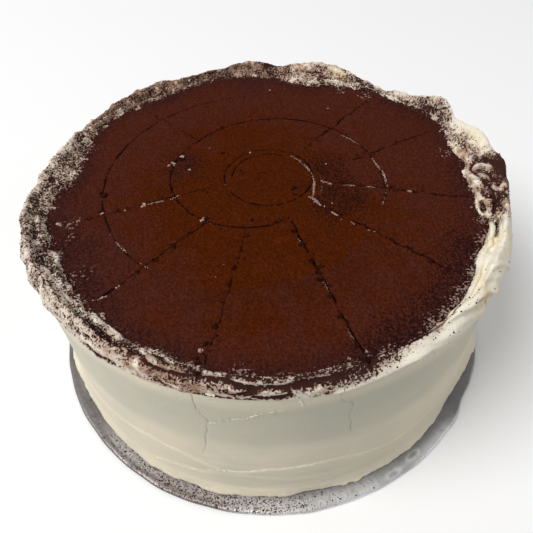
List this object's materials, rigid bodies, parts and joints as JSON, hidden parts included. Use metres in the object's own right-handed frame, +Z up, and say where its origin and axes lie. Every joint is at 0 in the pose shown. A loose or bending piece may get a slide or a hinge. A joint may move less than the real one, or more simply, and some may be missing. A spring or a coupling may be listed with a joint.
{
  "type": "tiramisu cake",
  "caption": "Whole round tiramisu cake: smooth cream wall, ragged cream crown and a scored cocoa top, standing on its foil-faced card.",
  "frame": {"origin": "centre of the card's underside", "axes": "+Z up through the cake, -Y towards the side that the picture shows in front, +X to its right"},
  "size_m": [0.28, 0.28, 0.1219],
  "materials": {
    "foil_card": "dull silver foil face",
    "cream": "soft satin cream, dusted with cocoa at the crown",
    "cocoa": "dry powder, fully matt"
  },
  "bodies": {
    "root": {"cake_board": "foil_card", "cream_cake": "cream", "cocoa_layer": "cocoa"}
  },
  "joints": []
}
